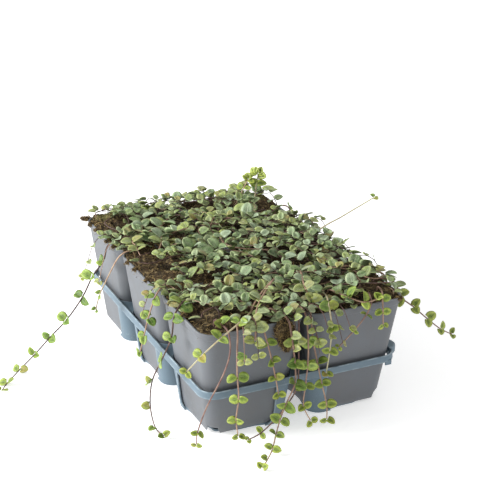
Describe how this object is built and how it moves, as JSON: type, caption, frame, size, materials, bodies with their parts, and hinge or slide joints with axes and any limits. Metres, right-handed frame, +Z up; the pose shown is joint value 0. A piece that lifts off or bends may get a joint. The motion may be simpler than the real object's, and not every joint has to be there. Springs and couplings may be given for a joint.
{
  "type": "potted partridge berry",
  "caption": "Creeping evergreen ground cover in square nursery pots, grown together into one mat with trailing runners, standing in their shared carrying tray",
  "frame": {"origin": "centre of the tray's foot, on the surface that the tray stands on", "axes": "+Z up, +X across the tray's short side with two pots, +Y along its long side with three pots, away from the side that the runners hang over most"},
  "size_m": [0.3833, 0.3593, 0.1355],
  "materials": {
    "tray": "satin",
    "pot": "satin",
    "soil": "matte",
    "mat_leaf": "satin",
    "runner_leaf": "satin"
  },
  "bodies": {
    "root": {"pot_back_left": "pot", "pot_back_right": "pot", "pot_front_left": "pot", "pot_front_right": "pot", "pot_middle_left": "pot", "pot_middle_right": "pot", "runner_back_left": "runner_leaf", "runner_back_right": "runner_leaf", "runner_corner": "runner_leaf", "runner_droop": "runner_leaf", "runner_front_brown": "runner_leaf", "runner_front_cluster": "runner_leaf", "runner_front_dry": "runner_leaf", "runner_front_left": "runner_leaf", "runner_front_long": "runner_leaf", "runner_front_middle": "runner_leaf", "runner_front_pale": "runner_leaf", "runner_front_second": "runner_leaf", "runner_front_slanting": "runner_leaf", "runner_left_back": "runner_leaf", "runner_left_front": "runner_leaf", "runner_left_long": "runner_leaf", "runner_left_middle": "runner_leaf", "runner_right_back": "runner_leaf", "runner_right_long": "runner_leaf", "runner_right_whip": "runner_leaf", "runner_rim": "runner_leaf", "soil_back_left": "soil", "soil_back_right": "soil", "soil_front_left": "soil", "soil_front_right": "soil", "soil_middle_left": "soil", "soil_middle_right": "soil", "spray_back_left_1": "mat_leaf", "spray_back_left_2": "mat_leaf", "spray_back_left_3": "mat_leaf", "spray_back_left_4": "mat_leaf", "spray_back_right_1": "mat_leaf", "spray_back_right_2": "mat_leaf", "spray_back_right_3": "mat_leaf", "spray_back_right_4": "mat_leaf", "spray_front_left_1": "mat_leaf", "spray_front_left_2": "mat_leaf", "spray_front_left_3": "mat_leaf", "spray_front_left_4": "mat_leaf", "spray_front_right_1": "mat_leaf", "spray_front_right_2": "mat_leaf", "spray_front_right_3": "mat_leaf", "spray_front_right_4": "mat_leaf", "spray_middle_left_1": "mat_leaf", "spray_middle_left_2": "mat_leaf", "spray_middle_left_3": "mat_leaf", "spray_middle_left_4": "mat_leaf", "spray_middle_right_1": "mat_leaf", "spray_middle_right_2": "mat_leaf", "spray_middle_right_3": "mat_leaf", "spray_middle_right_4": "mat_leaf", "sprig_low": "runner_leaf", "sprig_top": "runner_leaf", "tray": "tray"}
  },
  "joints": []
}
